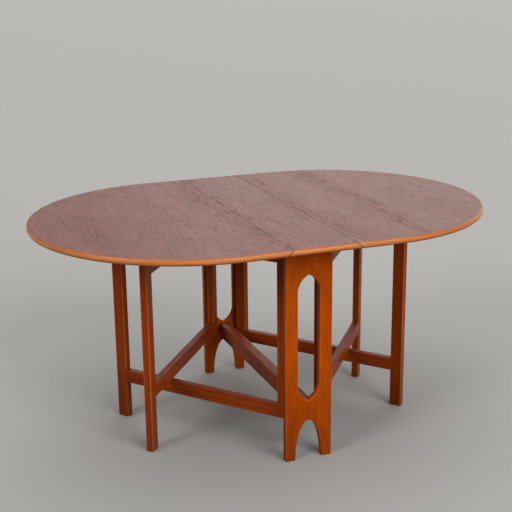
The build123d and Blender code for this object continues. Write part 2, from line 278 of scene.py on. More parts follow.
# %% The rings of the log
def growth_lines(tree, place, ring_width, heart, wander):
    """How dark the growth ring is at a place, from 0 in early wood to 1 in late wood."""
    log_lean = 0.045
    wander_size = (55 * mm, 500 * mm)
    year_start, year_end = (0.0, 0.35), (1.0, 0.5)
    year_between = [(0.14, 0.06), (0.55, 0.2), (0.88, 1.0)]
    cloud = drawn_out_cloud(tree, place, wander_size)
    drift = add_node(
        tree, "ShaderNodeMapRange", {0: cloud, "To Min": -wander, "To Max": wander}, clamp=False)
    parts = add_node(tree, "ShaderNodeSeparateXYZ", {0: place})
    side = add_node(
        tree, "ShaderNodeMath", {0: parts.outputs["X"], 1: drift.outputs[0]}, operation="ADD")
    depth = add_node(
        tree, "ShaderNodeMath", {0: parts.outputs["Y"], 1: log_lean, 2: heart}, operation="MULTIPLY_ADD")
    deeper = add_node(
        tree, "ShaderNodeMath", {0: parts.outputs["Z"], 1: depth.outputs[0]}, operation="ADD")
    cut = add_node(
        tree, "ShaderNodeCombineXYZ", {"X": side.outputs[0], "Y": deeper.outputs[0]})
    radius = add_node(tree, "ShaderNodeVectorMath", {0: cut.outputs[0]}, operation="LENGTH")
    rings = add_node(
        tree, "ShaderNodeMath", {0: radius.outputs["Value"], 1: ring_width}, operation="DIVIDE")
    year = add_node(tree, "ShaderNodeMath", {0: rings.outputs[0]}, operation="FRACT")
    season = add_node(tree, "ShaderNodeFloatCurve", {"Value": year.outputs[0]})
    curve = season.mapping.curves[0]
    curve.points[0].location = year_start
    curve.points[1].location = year_end
    for part_of_year, darkness in year_between:
        curve.points.new(part_of_year, darkness)
    season.mapping.update()
    return season.outputs[0]


print("growth lines ready")

# %% [markdown]
# Where a sheet of veneer was cut through the core of the log, its lines crowd together and break up
# into dark dashes. They keep to the middle of the sheet, wander a little, and leave the rest plain. Not
# every sheet comes from the core, so chance decides how strong they are in each one.

# %% The lines at the heart of a veneer sheet
def heart_lines(tree, place, chance):
    """How dark the broken lines are at a place: up to 1 on a line at the heart, 0 away from it."""
    line_size, line_limits = (2.2 * mm, 60 * mm), (0.52, 0.6)
    bend_size, bend = (90 * mm, 300 * mm), 100 * mm
    clear, full = 62 * mm, 8 * mm
    cloud = drawn_out_cloud(tree, place, bend_size)
    across = add_node(tree, "ShaderNodeSeparateXYZ", {0: place}).outputs["X"]
    drift = add_node(
        tree, "ShaderNodeMapRange", {0: cloud, "To Min": -bend / 2, "To Max": bend / 2}, clamp=False)
    side = add_node(tree, "ShaderNodeMath", {0: across, 1: drift.outputs[0]}, operation="ADD")
    away = add_node(tree, "ShaderNodeMath", {0: side.outputs[0]}, operation="ABSOLUTE")
    near = add_node(tree, "ShaderNodeMapRange", {0: away.outputs[0], 1: clear, 2: full}, clamp=True)
    lines = grain_marks(tree, place, line_size, line_limits)
    broken = add_node(tree, "ShaderNodeMath", {0: near.outputs[0], 1: lines}, operation="MULTIPLY")
    return add_node(
        tree, "ShaderNodeMath", {0: broken.outputs[0], 1: chance}, operation="MULTIPLY").outputs[0]


print("heart lines ready")

# %% [markdown]
# ## Oiled teak
# Teak is golden to red brown with darker growth lines and long coloured streaks. A few almost black
# mineral lines cross it, and its open pores show as fine dark dashes along the grain. The real pores
# are 0.2 mm wide, too fine for the picture, so they are drawn 1.5 mm wide and 40 mm long.

# %% The colour of bare wood and the marks in it
def bare_wood(tree, place, patches, rings, pale, dark, red):
    """Pale wood with red patches, darkened by its growth rings and by long streaks."""
    streak_size, streak_limits = (7 * mm, 450 * mm), (0.42, 0.68)
    faint_patch, full_patch = 0.35, 0.65
    ring_share, darkest = 0.5, 0.6
    streaks = grain_marks(tree, place, streak_size, streak_limits, detail=4.0)
    patch = add_node(
        tree, "ShaderNodeMapRange", {0: patches, 1: faint_patch, 2: full_patch}, clamp=True)
    lines = add_node(
        tree, "ShaderNodeMath", {0: rings, 1: ring_share, 2: streaks}, operation="MULTIPLY_ADD")
    darkness = add_node(
        tree, "ShaderNodeMath", {0: lines.outputs[0], 1: darkest}, operation="MULTIPLY", use_clamp=True)
    base = add_node(
        tree, "ShaderNodeMix", {0: patch.outputs[0], 6: linear(pale), 7: linear(red)}, data_type="RGBA")
    lined = add_node(
        tree, "ShaderNodeMix", {0: darkness.outputs[0], 6: base.outputs[2], 7: linear(dark)},
        data_type="RGBA")
    return lined.outputs[2]


def wood_marks(tree, place, chance):
    """Pores and mineral lines, and in veneer the heart lines: 1 where the wood is open and dark."""
    pore_size, pore_limits = (1.5 * mm, 40 * mm), (0.52, 0.76)
    mineral_size, mineral_limits = (5 * mm, 500 * mm), (0.74, 0.8)
    pores = grain_marks(tree, place, pore_size, pore_limits, detail=1.0)
    minerals = grain_marks(tree, place, mineral_size, mineral_limits, detail=1.0)
    marks = add_node(tree, "ShaderNodeMath", {0: pores, 1: minerals}, operation="MAXIMUM").outputs[0]
    if chance is None:
        return marks
    lines = heart_lines(tree, place, chance)
    return add_node(tree, "ShaderNodeMath", {0: marks, 1: lines}, operation="MAXIMUM").outputs[0]


print("bare wood ready")

# %% [markdown]
# The wood is sanded and oiled, so it has a satin sheen that is duller in the pores. The edges that hands
# and cloths rub are paler and smoother, and the paler colour on every softened edge is also a painted
# highlight along it: an attribute, painted on the softened edges of each piece, says where, and wear and
# highlight come in patches too. Towards the floor, the colour darkens to a dark brown.

# %% The teak material
def used_wood(tree, wood, marks, rubbed_and_highlit, rubbed_and_highlit_edge, pore):
    """Wood after years of use: paler on its edges, from wear and a painted highlight, dark in its pores and darker
    near the floor.
    """
    pore_darkness = 0.5
    low_dark_colour, darkening_height, most_darkening = "2E1408", 300 * mm, 0.45
    # Paler on softened edges: wear, and a painted highlight that stands in for the light along each edge.
    paler = add_node(
        tree, "ShaderNodeMix", {0: rubbed_and_highlit, 6: wood, 7: linear(rubbed_and_highlit_edge)}, data_type="RGBA")
    open_pore = add_node(tree, "ShaderNodeMath", {0: marks, 1: pore_darkness}, operation="MULTIPLY")
    coloured = add_node(
        tree, "ShaderNodeMix", {0: open_pore.outputs[0], 6: paler.outputs[2], 7: linear(pore)},
        data_type="RGBA")
    # Darker towards the floor: the colour turns dark brown over the lowest 300 mm of every piece.
    height = add_node(
        tree, "ShaderNodeSeparateXYZ", {0: add_node(tree, "ShaderNodeTexCoord").outputs["Object"]})
    low = add_node(
        tree, "ShaderNodeMapRange",
        {0: height.outputs["Z"], 1: darkening_height, 2: 0.0, "To Max": most_darkening}, clamp=True)
    darkened_low = add_node(
        tree, "ShaderNodeMix", {0: low.outputs[0], 6: coloured.outputs[2], 7: linear(low_dark_colour)},
        data_type="RGBA")
    return darkened_low.outputs[2]


def teak(name, pale, dark, red, pore, ring_width, heart, roughness, gloss, wear_and_highlight=0.5, rubbed_and_highlit_edge="CC7C34",
         sheet_width=0.0, wander=30 * mm):
    """Oiled teak in four colours and one for rubbed edges, which also paints their highlight; heart is how deep
    the log's core lies.
    """
    patch_size = (110 * mm, 500 * mm)
    faint_wear_and_highlight, full_wear_and_highlight, least_wear_and_highlight = 0.4, 0.6, 0.6
    dull_marks, smooth_wear = 0.35, -0.12
    mark_depth, relief_strength, relief_height = -1.5, 0.6, 0.2 * mm
    material, tree, shader = new_material(name)
    place, chance = plank_place(tree, sheet_width)
    rings = growth_lines(tree, place, ring_width, heart, wander)
    marks = wood_marks(tree, place, chance)
    patches = drawn_out_cloud(tree, place, patch_size)

    # On softened edges the paler colour is wear and also a painted highlight along the edge.
    worn_and_highlit = add_node(tree, "ShaderNodeAttribute", attribute_name="worn_and_highlit").outputs["Fac"]
    thin = add_node(
        tree, "ShaderNodeMapRange",
        {0: patches, 1: faint_wear_and_highlight, 2: full_wear_and_highlight, "To Min": least_wear_and_highlight * wear_and_highlight, "To Max": wear_and_highlight})
    rubbed_and_highlit = add_node(tree, "ShaderNodeMath", {0: worn_and_highlit, 1: thin.outputs[0]}, operation="MULTIPLY")
    wood = bare_wood(tree, place, patches, rings, pale, dark, red)
    colour = used_wood(tree, wood, marks, rubbed_and_highlit.outputs[0], rubbed_and_highlit_edge, pore)

    dull = add_node(
        tree, "ShaderNodeMapRange",
        {0: marks, "To Min": roughness, "To Max": roughness + dull_marks}, clamp=True)
    smoother = add_node(
        tree, "ShaderNodeMath", {0: worn_and_highlit, 1: smooth_wear, 2: dull.outputs[0]}, operation="MULTIPLY_ADD")
    relief = add_node(
        tree, "ShaderNodeMath", {0: marks, 1: mark_depth, 2: rings}, operation="MULTIPLY_ADD")
    bump = add_node(
        tree, "ShaderNodeBump",
        {"Height": relief.outputs[0], "Strength": relief_strength, "Distance": relief_height})
    tree.links.new(colour, shader.inputs["Base Color"])
    tree.links.new(smoother.outputs[0], shader.inputs["Roughness"])
    tree.links.new(bump.outputs[0], shader.inputs["Normal"])
    shader.inputs["Specular IOR Level"].default_value = gloss
    return material


print("teak material ready")

# %% [markdown]
# ## The finishes of this table
# The top is brown veneer in sheets 235 mm wide, cut near the heart, so it shows arches. The end panels
# are veneered too, in a warmer tone. Legs, rails and stretcher are solid and straight in the grain,
# and the lipping is the most orange. The underside has a plain balancing veneer that was never oiled,
# and the hidden faces of the seams are dark with old dust and wax.

# %% Teak in six finishes
top_veneer = teak("oiled_teak_veneer", "7F5144", "62362B", "764337", "471A13",
                  ring_width=11 * mm, heart=40 * mm, roughness=0.42, gloss=0.5, sheet_width=235 * mm)
panel_veneer = teak("teak_panel_veneer", "C25603", "9A3C00", "B44800", "7C2C00",
                    ring_width=7 * mm, heart=160 * mm, roughness=0.45, gloss=0.06)
frame_teak = teak("oiled_solid_teak", "AC4A02", "822C00", "983900", "5F1F00",
                  ring_width=6 * mm, heart=200 * mm, roughness=0.38, gloss=0.15)
# The lipping's pale rubbed colour is a painted highlight band along its front as well as wear.
lipping_teak = teak("teak_lipping", "B26222", "8E4410", "A25218", "6A3008",
                    ring_width=5 * mm, heart=250 * mm, roughness=0.32, gloss=0.45, wear_and_highlight=0.85,
                    rubbed_and_highlit_edge="EA8C3C", wander=10 * mm)
under_veneer = teak("plain_underside_veneer", "7A4A2A", "5C341C", "6E3F22", "3E2010",
                    ring_width=9 * mm, heart=120 * mm, roughness=0.65, gloss=0.3, sheet_width=300 * mm)
# Dark seam finish: dust and wax on hidden joint faces, and painted shade on the eased cut edges of the lipping.
dust_and_shade_teak = teak("dust_and_shade_seam_teak", "3A1D0E", "26120A", "341A0C", "180B06",
                 ring_width=6 * mm, heart=200 * mm, roughness=0.8, gloss=0.1, wear_and_highlight=0.0)
print("teak finishes:", [m.name for m in bpy.data.materials if "teak" in m.name or "veneer" in m.name])

# %% [markdown]
# ## From a shape to a piece of the table
# A piece can show two woods, such as veneer over a solid edge: each "look" is a finish with its own
# grain, and a face picks one by number. Grain is stored on face corners for this, so that two faces
# that share a point can differ there. Wear, with a highlight painted on the softened edges, is stored
# on points, on those that touch no flat face.

# %% Painting the attributes
plank_draw = np.random.default_rng(seed=41)
plank_shift = (20 * mm, 8.0, 20 * mm)
worn_and_highlit_width = 3.2 * mm
level = 0.99999


def points_of(mesh):
    """All the points of a mesh as rows of X, Y and Z."""
    flat = np.empty(len(mesh.vertices) * 3, np.float32)
    mesh.vertices.foreach_get("co", flat)
    return flat.reshape(-1, 3).astype(float)


def paint(mesh, name, kind, field, values, domain="POINT"):
    """Store one value for each point or face corner of the mesh."""
    layer = mesh.attributes.new(name, kind, domain)
    layer.data.foreach_set(field, np.asarray(values, np.float32).ravel())


def straight_grain(along, across):
    """A grain that runs straight along one direction, with the face of the plank across it."""
    along, across = np.array(along, float), np.array(across, float)
    through = np.cross(across, along)
    return lambda points: np.stack([points @ across, points @ along, points @ through], axis=1)


def new_plank(grain):
    """The same grain, cut from another place in another log."""
    shift = plank_draw.uniform(-1, 1, 3) * plank_shift
    return lambda points: grain(points) + shift


def corner_grain(mesh, grains):
    """For each face corner, the grain of the look that its face has."""
    corner_points = np.empty(len(mesh.loops), np.int32)
    mesh.loops.foreach_get("vertex_index", corner_points)
    face_looks = [face.material_index for face in mesh.polygons for corner in face.vertices]
    choices = np.stack([grain(points_of(mesh)) for grain in grains])
    return choices[face_looks, corner_points]


def is_flat(face):
    """True for a broad face, and for one that lies in one plane with a neighbour."""
    width = face.calc_area() / max(edge.calc_length() for edge in face.edges)
    neighbours = [other for edge in face.edges for other in edge.link_faces if other != face]
    return width > worn_and_highlit_width or any(other.normal.dot(face.normal) > level for other in neighbours)


print("paint helpers ready")

# %% [markdown]
# Each wooden shape is drawn as a bmesh and goes through the same last steps: doubles merged, faces
# turned outwards, grain painted on, wear and a painted highlight marked on the softened edges, and the
# shading of the rounded edges evened out with a Weighted Normal modifier, so that flat faces stay flat.

# %% The last steps for every piece
merge_distance = 0.01 * mm
sharp_angle = math.radians(40)


def plain_mesh(piece):
    """The mesh of an object with all its modifiers done."""
    depsgraph = bpy.context.evaluated_depsgraph_get()
    evaluated = piece.evaluated_get(depsgraph)
    return bpy.data.meshes.new_from_object(evaluated, preserve_all_data_layers=True, depsgraph=depsgraph)


def finish_piece(name, shape, body, looks, replaced, wear_and_highlight_at=None):
    """Turn a bmesh into a piece that rides on a body and stands for CAD nodes."""
    bmesh.ops.remove_doubles(shape, verts=shape.verts, dist=merge_distance)
    bmesh.ops.recalc_face_normals(shape, faces=shape.faces)
    # Points on softened edges carry wear and a painted highlight.
    worn_and_highlit = [float(not any(is_flat(face) for face in vert.link_faces)) for vert in shape.verts]
    for face in shape.faces:
        face.smooth = True
    mesh = bpy.data.meshes.new(name)
    shape.to_mesh(mesh)
    shape.free()
    mesh.set_sharp_from_angle(angle=sharp_angle)
    grain = corner_grain(mesh, [grain for finish, grain in looks])
    paint(mesh, "grain", "FLOAT_VECTOR", "vector", grain, "CORNER")
    paint(mesh, "worn_and_highlit", "FLOAT", "value", wear_and_highlight_at(points_of(mesh)) if wear_and_highlight_at else worn_and_highlit)
    for finish, grain in looks:
        mesh.materials.append(finish)
    piece = new_object(name, mesh)
    even = piece.modifiers.new("even_shading", "WEIGHTED_NORMAL")
    even.keep_sharp = True
    piece.data = plain_mesh(piece)
    piece.modifiers.clear()
    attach(piece, body)
    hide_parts(*replaced)
    return piece


print("pieces can be finished")

# %% [markdown]
# ## Bars with softened edges
# Legs, stiles and rails are sawn square and then have their edges taken off with a router, so light
# runs along them as a fine line. A bar starts as a box between two corners. Its long edges are
# bevelled in a few steps to a round, and its ends get a smaller one, which is what a foot shows
# after years of standing on floors.

# %% A bar between two corners
touching = 0.001 * mm


def box_shape(low, high):
    """A box between two corners, as a bmesh."""
    shape = bmesh.new()
    bmesh.ops.create_cube(shape, size=1.0)
    size = Vector(high) - Vector(low)
    centre = (Vector(high) + Vector(low)) / 2
    bmesh.ops.transform(shape, matrix=Matrix.Diagonal(size).to_4x4(), verts=shape.verts)
    bmesh.ops.translate(shape, vec=centre, verts=shape.verts)
    return shape


def soften(shape, edges, radius, steps=4, look=0):
    """Round some edges of a shape, and give the new faces a look by its number."""
    bmesh.ops.bevel(shape, geom=edges, offset=radius, segments=steps, profile=0.5, affect="EDGES",
                    clamp_overlap=True, material=look)


def bar(low, high, edge_round, end_round=0.0, lower_round=None):
    """A bar along its longest side with rounded long edges and softened ends."""
    shape = box_shape(low, high)
    size = Vector(high) - Vector(low)
    long_axis = max(range(3), key=lambda axis: size[axis])
    middle = (low[2] + high[2]) / 2
    long_edges = [e for e in shape.edges if abs((e.verts[0].co - e.verts[1].co)[long_axis]) > touching]
    upper_edges = [e for e in long_edges if lower_round is None or e.verts[0].co.z > middle]
    lower_edges = [e for e in long_edges if e not in upper_edges]
    soften(shape, upper_edges, edge_round)
    if lower_edges:
        lower_edges = [e for e in shape.edges if e.is_valid and e in lower_edges]
        soften(shape, lower_edges, lower_round)
    if end_round:
        ends = (low[long_axis], high[long_axis])
        rim = [e for e in shape.edges if any(
            all(abs(v.co[long_axis] - end) < touching for v in e.verts) for end in ends)]
        soften(shape, rim, end_round, steps=2)
    return shape


print("bars ready")

# %% [markdown]
# ## Four gates
# A gate is a frame on its own: a stile that turns on hinges behind the end panel, a leg that carries
# the leaf, and two rails between them. The gates stand at an angle, so a box in the room's directions
# says little about them. The line from the stile's centre to the leg's centre is the direction of the
# gate, and measured along that line every piece is a plain bar again.

# %% The directions and sizes of a gate
gates = ("near_left", "far_left", "near_right", "far_right")
upright = Vector((0, 0, 1))


def gate_directions(gate):
    """A matrix from the gate's own directions (across, along, up) to the room."""
    leg_low, leg_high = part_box(f"{gate}_leg")
    stile_low, stile_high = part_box(f"{gate}_stile")
    hinge_side = (stile_low + stile_high) / 2
    along = (leg_low + leg_high) / 2 - hinge_side
    along.z = 0
    along.normalize()
    turn = Matrix((along.cross(upright), along, upright)).transposed()
    return Matrix.Translation((hinge_side.x, hinge_side.y, 0)) @ turn.to_4x4()


def span(points, directions):
    """Lowest and highest corner of some points, measured in the given directions."""
    back = np.array(directions.inverted())
    turned = points @ back[:3, :3].T + back[:3, 3]
    return Vector(turned.min(axis=0)), Vector(turned.max(axis=0))


for gate in gates:
    low, high = span(points_of(nodes[f"{gate}_leg"].data), gate_directions(gate))
    print(gate, "leg", [round(x / mm, 1) for x in high - low])

# %% [markdown]
# The rails are as thick as the leg and the stile, so their faces run through in one plane. A joiner
# scribes the end of such a rail over the rounded edge of the leg: here each rail is let in by the
# radius of that edge, and no dark notch is left at the joint.

# %% Make the gates
gate_parts = ("leg", "stile", "lower_rail", "upper_rail")
leg_edge = 3.5 * mm
rail_edge = 3.0 * mm
foot_edge = 1.5 * mm

for gate in gates:
    directions = gate_directions(gate)
    along = directions.to_3x3() @ Vector((0, 1, 0))
    spans = {part: span(points_of(nodes[f"{gate}_{part}"].data), directions) for part in gate_parts}
    rail_start = spans["stile"][1].y - leg_edge
    rail_end = spans["leg"][0].y + leg_edge
    for part, (low, high) in spans.items():
        if part.endswith("rail"):
            low.y, high.y = rail_start, rail_end
            shape = bar(low, high, rail_edge)
            grain = straight_grain(along, upright)
        else:
            shape = bar(low, high, leg_edge, foot_edge)
            grain = straight_grain(upright, along)
        bmesh.ops.transform(shape, matrix=directions, verts=shape.verts)
        look = (frame_teak, new_plank(grain))
        finish_piece(f"{gate}_{part}_teak", shape, f"{gate}_gate", [look], [f"{gate}_{part}"])

# %% [markdown]
# ## End panels
# Each end panel is a slab with a slot, pointed at both ends, and an arch that leaves two feet. The arch
# is half an ellipse, and each point of the slot is made of two arcs that lean together.

# %% Draw the panel's outline and slot
slot_half_width = 36 * mm
slot_bottom = 197 * mm
slot_head_drop = 98 * mm
slot_point_rise = 55 * mm
arch_half_width = 44 * mm
arch_height = 130 * mm
arch_start = 3
arch_steps = 40
foot_round = 5 * mm
outline_steps = 14


def arc(centre, radius, start, end, steps=outline_steps):
    """Points on an arc from one angle to another, in degrees; an ellipse if radius is a pair."""
    across, up = radius if isinstance(radius, tuple) else (radius, radius)
    angles = [math.radians(start + (end - start) * i / steps) for i in range(steps + 1)]
    return [(centre[0] + across * math.cos(a), centre[1] + up * math.sin(a)) for a in angles]


panel_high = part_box("near_end_panel")[1]
half_panel, panel_top = panel_high.x, panel_high.z
right_foot = arc((arch_half_width + foot_round, foot_round), foot_round, 180, 270)
right_foot += arc((half_panel - foot_round, foot_round), foot_round, 270, 360)
left_foot = [(-x, z) for x, z in reversed(right_foot)]
arch_line = arc((0, 0), (arch_half_width, arch_height), 180 - arch_start, arch_start, arch_steps)
panel_outline = left_foot + arch_line + right_foot + [(half_panel, panel_top), (-half_panel, panel_top)]

slot_top = panel_top - slot_head_drop
point_radius = (slot_half_width**2 + slot_point_rise**2) / (2 * slot_half_width)
point_angle = math.degrees(math.asin(slot_point_rise / point_radius))
arc_centre = slot_half_width - point_radius
right_side = arc((arc_centre, slot_top - slot_point_rise), point_radius, point_angle, 0)
right_side += arc((arc_centre, slot_bottom + slot_point_rise), point_radius, 0, -point_angle)
left_side = [(-x, z) for x, z in reversed(right_side)]
slot_outline = right_side[:-1] + left_side[:-1]
print("outline points:", len(panel_outline), "slot points:", len(slot_outline))

# %% [markdown]
# A flat curve with a hole can be filled, thickened and given a bevel all round, which softens the
# outside, the slot and the arch in one go.

# %% Make both panels
panel_edge = 3.0 * mm
panel_edge_steps = 2


def panel_shape(outlines, thickness, edge):
    """A filled flat curve with a bevelled edge, stood up in the XZ plane, centred on Y 0."""
    curve = bpy.data.curves.new("panel_outline", "CURVE")
    curve.dimensions = "2D"
    curve.fill_mode = "BOTH"
    for outline in outlines:
        spline = curve.splines.new("POLY")
        spline.points.add(len(outline) - 1)
        spline.points.foreach_set("co", [c for x, z in outline for c in (x, z, 0.0, 1.0)])
        spline.use_cyclic_u = True
    curve.bevel_depth = edge
    curve.bevel_resolution = panel_edge_steps
    curve.offset = -edge
    curve.extrude = thickness / 2 - edge
    drawn = bpy.data.objects.new("panel_outline", curve)
    mesh = bpy.data.meshes.new_from_object(drawn)
    bpy.data.objects.remove(drawn)
    shape = bmesh.new()
    shape.from_mesh(mesh)
    bmesh.ops.transform(shape, matrix=Matrix.Rotation(math.radians(90), 4, "X"), verts=shape.verts)
    return shape


for side in ("near", "far"):
    low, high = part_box(f"{side}_end_panel")
    shape = panel_shape([panel_outline, slot_outline], high.y - low.y, panel_edge)
    bmesh.ops.translate(shape, vec=(0, (low.y + high.y) / 2, 0), verts=shape.verts)
    look = (panel_veneer, new_plank(straight_grain((0, 0, 1), (1, 0, 0))))
    panel = finish_piece(f"{side}_panel_teak", shape, "frame", [look], [f"{side}_end_panel"])
    print(panel.name, "triangles:", sum(len(p.vertices) - 2 for p in panel.data.polygons))

# %% [markdown]
# ## Stretcher and upper rail
# The stretcher ties the panels low down. Its upper edges are rounded generously, because feet rest on
# it, and its lower ones only lightly. The upper rail does the same under the top, where nobody sees it.

# %% Make the stretcher and the upper rail
stretcher_edge = 7 * mm
stretcher_lower_edge = 1.5 * mm
hidden_edge = 1.0 * mm

rails = {"stretcher": bar(*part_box("stretcher"), stretcher_edge, lower_round=stretcher_lower_edge),
         "upper_rail": bar(*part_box("upper_rail"), hidden_edge)}
for rail, shape in rails.items():
    look = (frame_teak, new_plank(straight_grain((0, 1, 0), (0, 0, 1))))
    finish_piece(f"{rail}_teak", shape, "frame", [look], [rail])
print("made:", list(rails))

# %% [markdown]
# ## Sizes of the top
# The leaf is a rectangle with a half circle at its end, so one path describes its rim at any distance
# from the edge. The board under the veneer, and the lipping round it, are drawn along that same path
# with the same steps, so they meet point to point. The left leaf is the right one after half a turn.

# %% The rim of a leaf
board_low, board_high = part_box("right_leaf_board")
underside, top_height = board_low.z, board_high.z
half_length, half_width = cad_box[1].x, cad_box[1].y
lipping_width = half_width - board_high.y
end_centre = half_length - half_width
rim_steps = 96
half_turn = Matrix.Rotation(math.pi, 4, "Z")


def right_rim(inset, start):
    """Points along the rim of the right leaf, from the near side round the end to the far side."""
    radius = half_width - inset
    return [(start, -radius)] + arc((end_centre, 0), radius, -90, 90, steps=rim_steps) + [(start, radius)]


def on_side(shape, side):
    """A shape that was drawn for the right leaf, turned round if it is for the left one."""
    if side == "left":
        bmesh.ops.transform(shape, matrix=half_turn, verts=shape.verts)
    return shape


print("leaf reaches", round(half_length / mm), "mm and its end is a half circle of", round(half_width / mm))

# %% [markdown]
# ## Veneered boards
# The board of each leaf is a flat panel with brown veneer above and plain veneer below. All three
# boards take their grain from the room's own Y, without a shift, because the veneer of a top is laid
# out across the seams as one picture.

# %% Make the centre board and the leaf boards
veneer_look, wood_look, seam_look = 0, 1, 2
hair = 0.1 * mm
facing_up = 0.99


def extruded(outline, step):
    """A closed shape: a flat outline of points, drawn along a step."""
    shape = bmesh.new()
    base = shape.faces.new([shape.verts.new(point) for point in outline])
    drawn = bmesh.ops.extrude_face_region(shape, geom=[base])["geom"]
    moved = [item for item in drawn if isinstance(item, bmesh.types.BMVert)]
    bmesh.ops.translate(shape, vec=step, verts=moved)
    bmesh.ops.recalc_face_normals(shape, faces=shape.faces)
    return shape


def veneer_on_top(shape):
    """Give the faces at the top the look of the veneer, and all others the one of the wood below."""
    bmesh.ops.recalc_face_normals(shape, faces=shape.faces)
    for face in shape.faces:
        at_top = face.normal.z > facing_up and face.calc_center_median().z > top_height - hair
        face.material_index = veneer_look if at_top else wood_look
    return shape


along_top = straight_grain((0, 1, 0), (1, 0, 0))
top_look = (top_veneer, along_top)
board_looks = [top_look, (under_veneer, along_top)]
shape = veneer_on_top(box_shape(*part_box("centre_board")))
finish_piece("centre_board_veneer", shape, "frame", board_looks, ["centre_board"])
leaf_outline = [(x, y, underside) for x, y in right_rim(lipping_width, board_low.x)]
for side in ("right", "left"):
    shape = on_side(veneer_on_top(extruded(leaf_outline, (0, 0, top_height - underside))), side)
    finish_piece(f"{side}_leaf_veneer", shape, f"{side}_leaf", board_looks,
                 [f"{side}_leaf_board"])
print("boards made")

# %% [markdown]
# ## The rule joint
# Where a leaf meets the centre strip, a quarter round on the strip turns inside a cove on the leaf, so
# that no gap opens when the leaf moves. The hinge pin sits at the centre of that round. Both edges are
# drawn as a section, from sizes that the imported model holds.

# %% Sections of the joint
joint_pin = Vector(next(j["pos_m"] for j in frame["joints"] if j["name"] == "right_leaf_lift"))
edge_low, edge_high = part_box("centre_joint_edges")
leaf_edge_low, leaf_edge_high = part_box("right_leaf_joint_edge")
round_radius = edge_high.x - joint_pin.x
seam_gap = leaf_edge_low.x - joint_pin.x
leaf_edge_points = points_of(nodes["right_leaf_joint_edge"].data)
cove_foot = leaf_edge_points[leaf_edge_points[:, 2] < underside + hair]
cove_radius = cove_foot[:, 0].min() - joint_pin.x
centre_board_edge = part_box("centre_board")[1].x

quarter_round = arc((joint_pin.x, underside), round_radius, 90, 0)
round_section = [(centre_board_edge, underside), (centre_board_edge, top_height),
                 (joint_pin.x, top_height)] + quarter_round
cove_start = math.degrees(math.acos(seam_gap / cove_radius))
cove = arc((joint_pin.x, underside), cove_radius, 0, cove_start)
cove_section = cove + [(joint_pin.x + seam_gap, top_height), (leaf_edge_high.x, top_height),
                       (leaf_edge_high.x, underside)]
print("quarter round", round(round_radius / mm, 1), "mm, seam", round(seam_gap / mm, 2), "mm")

# %% [markdown]
# The sections are taken along the table. The edges carry the veneer on top, and the faces that lie
# inside the joint get the dusty finish.

# %% Make the joint edges
def along_y(section, start, end):
    """A section in X and Z, taken along Y."""
    return extruded([(x, start, z) for x, z in section], (0, end - start, 0))


def in_seam(place):
    """True for a place on the quarter round, the cove or the step of either joint."""
    side = abs(place.x) - joint_pin.x
    from_pin = math.hypot(side, place.z - underside)
    on_step = -hair < side < seam_gap + hair
    return on_step or any(abs(from_pin - radius) < 2 * hair for radius in (round_radius, cove_radius))


def dust_in_seam(shape):
    """Give the dusty look to the faces that lie inside the joint."""
    for face in shape.faces:
        places = [vert.co for vert in face.verts] + [face.calc_center_median()]
        if all(in_seam(place) for place in places):
            face.material_index = seam_look
    return shape


def joined(shapes):
    """Several bmeshes as one."""
    whole = bmesh.new()
    for shape in shapes:
        mesh = bpy.data.meshes.new("joined")
        shape.to_mesh(mesh)
        shape.free()
        whole.from_mesh(mesh)
    return whole


edge_looks = [top_look, (frame_teak, along_top), (dust_and_shade_teak, along_top)]
both_sides = joined(
    [on_side(along_y(round_section, edge_low.y, edge_high.y), side) for side in ("right", "left")])
finish_piece("centre_rule_edges_teak", dust_in_seam(veneer_on_top(both_sides)), "frame", edge_looks,
             ["centre_joint_edges"])
for side in ("right", "left"):
    shape = on_side(along_y(cove_section, leaf_edge_low.y, leaf_edge_high.y), side)
    finish_piece(f"{side}_cove_edge_teak", dust_in_seam(veneer_on_top(shape)), f"{side}_leaf", edge_looks,
                 [f"{side}_leaf_joint_edge"])
print("rule joint made")

# %% [markdown]
# ## The lipping
# A strip of solid teak runs round the top and hides the edges of the boards. It follows a path, which
# is work for Geometry Nodes: the rim becomes a curve, a rectangle with two rounded corners is its
# section, and Curve to Mesh draws the one along the other. The sizes are inputs of the tree, so the
# same tree makes the round leaves and the straight ends of the centre strip.

# %% The node tree for a lipping
def geometry_tree(name, inputs, output):
    """An empty Geometry Nodes tree with named inputs of given kinds, and one output."""
    tree = bpy.data.node_groups.new(name, "GeometryNodeTree")
    for socket, kind in inputs.items():
        tree.interface.new_socket(socket, in_out="INPUT", socket_type=f"NodeSocket{kind}")
    tree.interface.new_socket(output, in_out="OUTPUT", socket_type="NodeSocketGeometry")
    return tree


